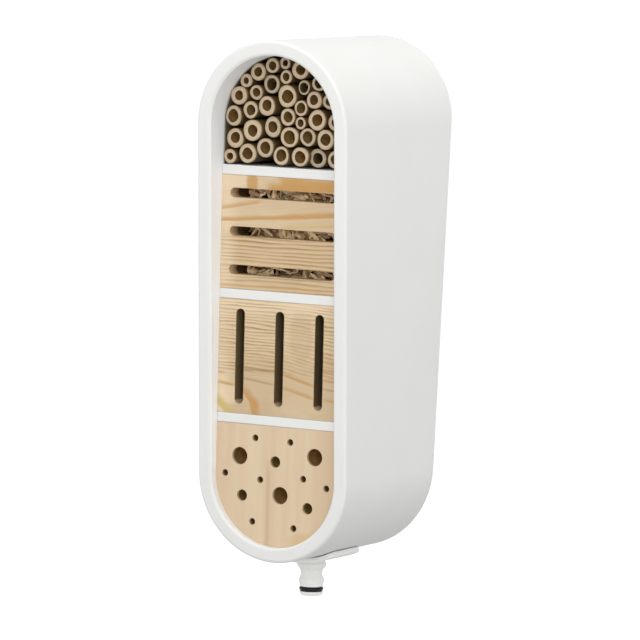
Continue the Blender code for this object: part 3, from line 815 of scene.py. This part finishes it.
def make_block():
    low, high = close_box("drilled_block")
    radius = high.x
    outline = [(radius, high.z), (-radius, high.z)]
    for step in range(ARC_STEPS + 1):
        angle = math.pi + math.pi * step / ARC_STEPS
        outline.append((radius * math.cos(angle), LOWER_AXIS + radius * math.sin(angle)))
    # bores painted dark brown from the mouth in, painted shade, turning lighter deep in, painted
    # light
    bored = cut_wood("bored_wood", (0.125, 0.070, 0.018), (0.55, 0.330, 0.094), 17.0,
                     lip=(0.50, 0.370, 0.225))
    block = plate("bee_block", outline, low.y, high.y, (block_wood(), bored))
    for index, (x, z, diameter) in enumerate(BLOCK_BORES):
        rng = np.random.default_rng(40 + index)
        uneven = 1 + rng.normal(0, 0.006, BORE_STEPS)
        section = circle(diameter / 2 * MM, BORE_STEPS, 0.0)
        rings = [[(x * MM + a * u, y, CENTRE_Z + z * MM + b * u)
                  for (a, b, _), u in zip(section, uneven)]
                 for y in (low.y - DRILL_START, low.y + BORE_DEPTH)]
        combine(block, new_object("drill", *loft(rings)), "DIFFERENCE")

    def on_edge(point):
        near = 0.5 * MM
        inside = math.hypot(point.x, min(point.z - LOWER_AXIS, 0.0)) < radius - near
        return not inside or point.z > high.z - near or abs(point.x) > radius - near

    mark_cut_faces(block, on_edge)
    soften_edges(block)
    smooth(block, 30)
    finish_piece(block, "block_wood", "drilled_block")


# ---- chips ----

CHIP_SIDES = 7
CHIP_RINGS = 6
CHIPS_LEFT = 8 * MM  # the heap starts this far from the left wall
# Layers of the heap: depth behind the board, spacing and longest chip, in mm
CHIP_LAYERS = ((2.2, 4.6, 18.0), (6.0, 5.4, 22.0), (13.0, 8.0, 26.0), (25.0, 11.0, 28.0))


def chip(rng, length, width, thickness):
    """One split chip: an uneven cross-section drawn along a slightly bent line."""
    angles = np.sort(rng.uniform(0, 2 * math.pi, CHIP_SIDES) * 0.35
                     + np.arange(CHIP_SIDES) * 2 * math.pi / CHIP_SIDES * 0.9)
    bend = rng.normal(0, 0.10)
    rings = []
    for share in np.linspace(-0.5, 0.5, CHIP_RINGS):
        narrow = 1 - 0.55 * (2 * abs(share)) ** 3
        ring = []
        for angle in angles:
            rough = narrow * rng.uniform(0.78, 1.08)
            ring.append((share * length + rng.normal(0, 0.02) * length,
                         0.5 * thickness * rough * math.sin(angle) + bend * length * share ** 2,
                         0.5 * width * rough * math.cos(angle)))
        rings.append(ring)
    return loft(rings)


def make_chips():
    """Heap of loose chips that leans on the board: a close front layer, larger pieces behind.

    Chips that would stick out of the heap's box are pressed flat against its sides.
    """
    low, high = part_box("wood_chips")
    low = Vector((low.x + CHIPS_LEFT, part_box("board_lying_slots")[1].y + GAP, low.z))
    rng = np.random.default_rng(12)
    vertices, faces, tones = [], [], []
    for depth, spacing, longest in CHIP_LAYERS:
        for x in np.arange(low.x / MM + 2, high.x / MM, spacing * 1.25):
            for z in np.arange(low.z / MM + 1.5, high.z / MM, spacing * 0.8):
                length = rng.uniform(0.35, 1.0) * longest
                points, shell = chip(rng, length, rng.uniform(0.28, 0.62) * min(length, 12.0),
                                     rng.uniform(0.9, 2.6))
                turn = (Matrix.Rotation(rng.normal(0, 0.35), 3, "Z")
                        @ Matrix.Rotation(rng.normal(0, 0.75), 3, "Y")
                        @ Matrix.Rotation(math.pi / 2 + rng.normal(0, 0.6), 3, "X"))
                place = Vector((x, low.y / MM + depth, z)) + Vector(rng.normal(0, 1.5, 3))
                start = len(vertices)
                for point in points:
                    world = (turn @ Vector(point) + place) * MM
                    vertices.append([min(max(v, a), b) for v, a, b in zip(world, low, high)])
                faces += [tuple(start + index for index in face) for face in shell]
                tones += [float(rng.beta(1.1, 0.7))] * len(points)
    heap = new_object("wood_chip_heap", vertices, faces, (chip_wood(),))
    heap.data.attributes.new("tone", "FLOAT", "POINT").data.foreach_set("value", tones)
    smooth(heap, 28)
    finish_piece(heap, "wood_chips", "wood_chips")


# ---- canes ----

CANE_SIDES = 44
CANE_LENGTH = 118 * MM
CANE_NODE_DEPTH = 104 * MM  # where the node closes the bore
BORE_GROWTH = 1.14  # bores drawn up to this much wider than in the CAD
THIN_WALL = 0.95 * MM  # but leaving at least this wall
GREY_CANES = ("cane_34", "cane_07", "cane_08")
OVAL_CANES = ("cane_19", "cane_16", "cane_23", "cane_08")
FRONT_DRIFT = Vector((-0.55, 0.0, -0.10))  # how a cane's end wanders as it stands further back


def bore_radius(node):
    """Radius of a cane's bore in the CAD: its front vertices nearest the axis."""
    low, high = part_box(node)
    axis = (low + high) / 2
    front = [v.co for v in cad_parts[node].data.vertices if v.co.y < low.y + 0.1 * MM]
    return min(math.hypot(co.x - axis.x, co.z - axis.z) for co in front)


def wavy(rng, amounts, oval=0.0):
    """Relative radius by angle: a gently out-of-round outline that never passes 1."""
    angles = np.arange(CANE_SIDES) * 2 * math.pi / CANE_SIDES
    shape = 1 - oval * np.cos(2 * angles)
    for order, amount in enumerate(amounts, start=2):
        shape += amount * np.cos(order * angles + rng.uniform(0, 2 * math.pi))
    return angles, shape / shape.max()


def make_cane(node, materials):
    low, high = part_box(node)
    axis = (low + high) / 2
    outer, bore = (high.x - low.x) / 2, bore_radius(node)
    rng = np.random.default_rng(int(node[-2:]) * 17 + 2)
    oval = 0.05 if node in OVAL_CANES else rng.uniform(0, 0.02)
    angles, skin = wavy(rng, (0.020, 0.016, 0.011), oval)
    _, hollow = wavy(rng, (0.030, 0.020, 0.014), oval)
    hollow = hollow * min(BORE_GROWTH, (outer - THIN_WALL) / bore)
    tilt_x, tilt_z = rng.normal(0, 0.018, 2)
    shift = rng.normal(0, 0.035, 2) * outer
    drift = FRONT_DRIFT * (low.y - BOARD_Y)
    rough = rng.normal(0, 0.05 * MM, CANE_SIDES)
    rings, outwards, depths = [], [], []

    def add(share, y, scale=1.0, uneven=0.0):
        """Ring between the bore (share 0) and the skin (share 1)."""
        ring = []
        for index, angle in enumerate(angles):
            inner = bore * hollow[index]
            radius = (inner + (outer * skin[index] - inner) * share) * scale
            near = max(0.0, 1 - (y - low.y) / CANE_LENGTH)
            x = axis.x + radius * math.cos(angle) + shift[0] * (1 - share) + drift.x * near
            z = axis.z + radius * math.sin(angle) + shift[1] * (1 - share) + drift.z * near
            lean = tilt_x * (x - axis.x) + tilt_z * (z - axis.z)
            ring.append((x, y + max(lean, -0.05 * MM) + uneven * rough[index], z))
        rings.append(ring)
        outwards.extend([share] * CANE_SIDES)
        depths.extend([(y - low.y) / MM] * CANE_SIDES)

    # From the closed end of the bore, round the sawn end, and back along the skin
    add(0.0, low.y + CANE_NODE_DEPTH, 0.90)
    add(0.0, low.y + 40 * MM, 0.97)
    add(0.0, low.y + 8 * MM)
    add(0.0, low.y + 0.55 * MM)
    add(0.04, low.y + 0.18 * MM)
    for share in (0.12, 0.35, 0.60, 0.82):
        add(share, low.y + 0.12 * MM, uneven=1.0)
    add(0.95, low.y + 0.22 * MM)
    add(1.0, low.y + 0.60 * MM)
    add(1.0, low.y + 30 * MM, 0.985)
    add(1.0, high.y)
    cane = new_object(node.replace("cane", "reed"), *loft(rings), materials)
    tone = 0.95 if node in GREY_CANES else float(np.clip(rng.normal(0.28, 0.2), 0, 0.7))
    count = len(cane.data.vertices)
    tones, hues = [tone] * count, [rng.uniform(0, 1)] * count
    for label, values in (("outwards", outwards), ("depth", depths), ("tone", tones),
                          ("hue", hues)):
        cane.data.attributes.new(label, "FLOAT", "POINT").data.foreach_set("value", values)
    for face in cane.data.polygons:
        centre = face.center
        radius = math.hypot(centre.x - axis.x, centre.z - axis.z)
        if centre.y > low.y + 0.5 * MM:
            face.material_index = 1 if radius > (outer + bore) / 2 else 2  # skin or bore
    smooth(cane, 40)
    finish_piece(cane, "cane", node)


def make_canes():
    # bores painted dark from the mouth in, painted shade, turning lighter deep in, painted light
    dark = cut_wood("cane_bore", (0.138, 0.074, 0.018), (0.55, 0.335, 0.094), 13.0, "depth")
    materials = (cane_end(), cane_skin(), dark)
    for node in sorted(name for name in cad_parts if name.startswith("cane_")):
        make_cane(node, materials)


# ---- bracket, ring and screws ----

PLUG_EDGE = 0.35 * MM
PAD_RADIUS = 4.6 * MM  # pads round the screws, between the saddle and the case
# Turned outline of the plug: radius and height above its end face, in mm
PLUG_OUTLINE = (
    (2.0, 0.0), (7.0, 0.0), (7.9, 0.9), (8.3, 2.0), (8.3, 2.8), (5.3, 2.8), (5.3, 6.4), (8.3, 6.4),
    (8.4, 7.2), (8.2, 7.6), (8.6, 8.8), (8.9, 10.2), (8.9, 11.6), (7.8, 13.8), (7.5, 14.6),
    (7.5, 15.9), (7.9, 17.3), (8.3, 18.8), (10.0, 20.6), (10.3, 21.2), (10.3, 22.9), (9.9, 23.4),
    (9.4, 23.8), (9.4, 26.8))


def bracket_screw_frames():
    """Each bracket screw's node, the middle of its hole's mouth, and its direction."""
    for name, side in (("bracket_screw_left", -1), ("bracket_screw_right", 1)):
        angle = side * BRACKET_SCREW_ANGLE
        inward = Vector((-math.sin(angle), 0.0, math.cos(angle)))
        yield name, Vector((0.0, 0.0, LOWER_AXIS)) - inward * (SADDLE_OUTER - HEAD_SINK), inward


SADDLE_SIDE_STEPS = 40
SADDLE_CORNER_STEPS = 8
SADDLE_EDGE_OUTSIDE = 1.6 * MM
SADDLE_EDGE_INSIDE = 0.7 * MM


def saddle_ring(inset, radius):
    """Rounded rectangle wrapped on a cylinder about the lower half circle's axis."""
    reach = SADDLE_OUTER * SADDLE_HALF_ANGLE - inset
    half = SADDLE_HALF_LENGTH - inset
    corner = max(min(SADDLE_CORNER - inset, half * 0.98), 0.02 * MM)
    flat = []
    for side_x, side_y, start in ((1, 1, 0.0), (-1, 1, 0.5), (-1, -1, 1.0), (1, -1, 1.5)):
        for step in range(SADDLE_CORNER_STEPS + 1):
            angle = math.pi * (start + 0.5 * step / SADDLE_CORNER_STEPS)
            flat.append((side_x * (reach - corner) + corner * math.cos(angle),
                         side_y * (half - corner) + corner * math.sin(angle)))
        if side_x == side_y:
            for step in range(1, SADDLE_SIDE_STEPS):
                share = 1 - 2 * step / SADDLE_SIDE_STEPS
                flat.append((side_x * (reach - corner) * share, side_y * half))
    ring = []
    for along, y in flat:
        angle = along / SADDLE_OUTER
        ring.append((radius * math.sin(angle), y, LOWER_AXIS - radius * math.cos(angle)))
    return ring


def make_bracket(finish):
    widths = [SADDLE_HALF_LENGTH * share for share in (0.97, 0.75, 0.5, 0.25)]
    rings = [saddle_ring(width, SADDLE_OUTER) for width in widths]
    rings += [saddle_ring(inset, SADDLE_OUTER - along)
              for inset, along in reversed(quarter(SADDLE_EDGE_OUTSIDE))]
    inner = SADDLE_INNER - SADDLE_CLOSE
    rings += [saddle_ring(inset, inner + along) for inset, along in quarter(SADDLE_EDGE_INSIDE)]
    rings += [saddle_ring(width, inner) for width in reversed(widths)]
    bracket = new_object("bracket_moulding", *loft(rings), (finish,))
    outline = rounded_corners(in_metres(PLUG_OUTLINE), PLUG_EDGE)
    plug = turned("plug", outline, (0, 0, 0), (0, 0, 1), (finish,))
    combine(bracket, plug, "UNION")
    pad_outline = ((PAD_RADIUS, 0.0), (PAD_RADIUS, SADDLE_OUTER - WIDTH / 2 - GAP - MM))
    for _, head, inward in bracket_screw_frames():
        pad = turned("pad", pad_outline, head + inward * MM, inward, (finish,),
                     steps=SCREW_STEPS)
        combine(bracket, pad, "UNION")
        combine(bracket, screw_hole(head, inward), "DIFFERENCE")
    smooth(bracket, 30)
    finish_piece(bracket, "bracket_plastic", "pole_bracket")


def make_ring(finish):
    low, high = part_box("sealing_ring")
    cord = (high.z - low.z) / 2
    radius, height = high.x - cord, (high.z + low.z) / 2
    section = circle(cord, CORD_STEPS, 0.0)
    rings = []
    for step in range(TURNED_STEPS):
        turn = 2 * math.pi * step / TURNED_STEPS
        rings.append([((radius + a) * math.cos(turn), (radius + a) * math.sin(turn), height + b)
                      for a, b, _ in section])
    ring = new_object("rubber_ring", *loft(rings, closed=True), (finish,))
    smooth(ring)
    finish_piece(ring, "ring_rubber", "sealing_ring")


# Domed countersunk head: radius and depth below its top, in mm
SCREW_HEAD = ((0.02, 0.0), (2.2, 0.05), (2.9, 0.15), (3.0, 0.35), (1.4, 1.9))
CROSS_LENGTH, CROSS_WIDTH = 1.7, 0.32  # half sizes of the recess in the head, in mm


def make_screw(node, head, inward, length, finish):
    """Countersunk screw with a slightly domed head and a cross recess."""
    outline = [*in_metres(SCREW_HEAD), (1.4 * MM, length - 1.5 * MM), (0.4 * MM, length - 0.1 * MM)]
    screw = turned(node.replace("screw", "fixing"), outline, head, inward, (finish,),
                   steps=SCREW_STEPS)
    turn = Vector((0, 0, 1)).rotation_difference(Vector(inward)).to_matrix()
    for wide, narrow in ((CROSS_LENGTH, CROSS_WIDTH), (CROSS_WIDTH, CROSS_LENGTH)):
        rings = [[(sx * wide * taper * MM, sy * narrow * taper * MM, height * MM)
                  for sx, sy in ((1, 1), (-1, 1), (-1, -1), (1, -1))]
                 for height, taper in ((-1.0, 1.15), (1.3, 0.7))]
        vertices, faces = loft(rings)
        placed = [turn @ Vector(vertex) + Vector(head) for vertex in vertices]
        combine(screw, new_object("driver", placed, faces), "DIFFERENCE")
    smooth(screw, 30)
    finish_piece(screw, "screw_steel", node)


def make_screws(finish):
    for node, head, length in cover_screws():
        make_screw(node, head, (0, -1, 0), length, finish)
    for node, head, inward in bracket_screw_frames():
        make_screw(node, head + inward * HEAD_SINK, inward, BRACKET_SCREW, finish)


# ---- stage, light and camera ----

FLOOR_HALF_SIZE = 60.0
FLOOR_Z = -0.30
CAMERA_TURN = [math.radians(angle) for angle in (30.439, 5.637, 1.348)]  # yaw, pitch, roll
CAMERA_PLACE = (1.75733, -2.98720, 0.53710)
LENS, SENSOR = 278.83, 36.0  # in mm


def make_stage():
    """Wide floor below the hanging object: grey under it as a painted shadow pool, white and
    glowing further off.
    """
    f = Finish("floor")
    away = (f.x * f.x + f.y * f.y).math("SQRT")
    far = (away + (f.noise((0.002, 0.002, 0.002)) - 0.5) * 60.0).rise(700.0, 1700.0)
    f.done(f.mix(far, (0.52, 0.52, 0.52), (0.66, 0.66, 0.66)), far.span(0.85, 0.9))
    f.shader.inputs["Emission Color"].default_value = (1.0, 1.0, 1.0, 1.0)
    connect(f.tree, far * 0.60, f.shader.inputs["Emission Strength"])
    corners = [(x * FLOOR_HALF_SIZE, y * FLOOR_HALF_SIZE, FLOOR_Z)
               for x, y in ((-1, -1), (1, -1), (1, 1), (-1, 1))]
    floor = new_object("floor", corners, [(0, 1, 2, 3)], (f.material,))


def make_world():
    """Pale studio: white from below to just above the horizon, dimmer overhead."""
    world = bpy.data.worlds.new("studio")
    world.use_nodes = True
    tree = world.node_tree
    direction = tree.nodes.new("ShaderNodeTexCoord")
    split = tree.nodes.new("ShaderNodeSeparateXYZ")
    tree.links.new(direction.outputs["Generated"], split.inputs[0])
    band = Field(tree, split.outputs["Z"]).rise(0.35, 0.10)
    background = tree.nodes["Background"]
    background.inputs["Color"].default_value = (1.0, 1.0, 1.0, 1.0)
    connect(tree, band.span(0.62, 1.01), background.inputs["Strength"])
    bpy.context.scene.world = world


def add_softbox(name, place, size, power):
    """Square light that faces the middle of the case; size in m and power in W."""
    light = bpy.data.lights.new(name, "AREA")
    light.shape = "RECTANGLE"
    light.size = light.size_y = size
    light.energy = power
    item = bpy.data.objects.new(name, light)
    item.location = place
    item.rotation_mode = "QUATERNION"
    aim = Vector((0.0, 0.0, CENTRE_Z)) - Vector(place)
    item.rotation_quaternion = aim.to_track_quat("-Z", "Y")
    bpy.context.scene.collection.objects.link(item)


def make_lights():
    add_softbox("softbox_front_right", (1.15, -2.05, 1.35), 1.6, 24.0)
    add_softbox("softbox_top", (0.1, -0.3, 2.3), 2.0, 28.0)


def make_camera():
    """Long lens, turned to the right of the front and a little above it."""
    yaw, pitch, roll = CAMERA_TURN
    back = Vector((math.sin(yaw) * math.cos(pitch), -math.cos(yaw) * math.cos(pitch),
                   math.sin(pitch)))
    right = (-back).cross(Vector((0, 0, 1))).normalized()
    up = right.cross(-back)
    side = math.cos(roll) * right + math.sin(roll) * up
    rise = -math.sin(roll) * right + math.cos(roll) * up
    lens = bpy.data.cameras.new("camera")
    lens.sensor_width = SENSOR
    lens.lens = LENS
    lens.clip_end = 200.0
    camera = bpy.data.objects.new("camera", lens)
    camera.matrix_world = Matrix((side, rise, back)).transposed().to_4x4()
    camera.location = CAMERA_PLACE
    bpy.context.scene.collection.objects.link(camera)
    bpy.context.scene.camera = camera


# ---- the object ----

make_camera()
make_world()
make_lights()
make_stage()
bpy.context.scene.view_settings.view_transform = "Standard"
white = plastic("case_plastic", *WHITE)
# the case's material carries painted light and painted shade in its opening
make_case(plastic("case_plastic_painted_light_and_shade", *WHITE, inside=OPENING_PAINTED_LIGHT))
make_cover(white)
make_shelves(white)
make_boards()
make_block()
make_chips()
make_canes()
make_bracket(plastic("bracket_plastic", *LIGHT_GREY))
make_ring(rubber())
make_screws(steel())
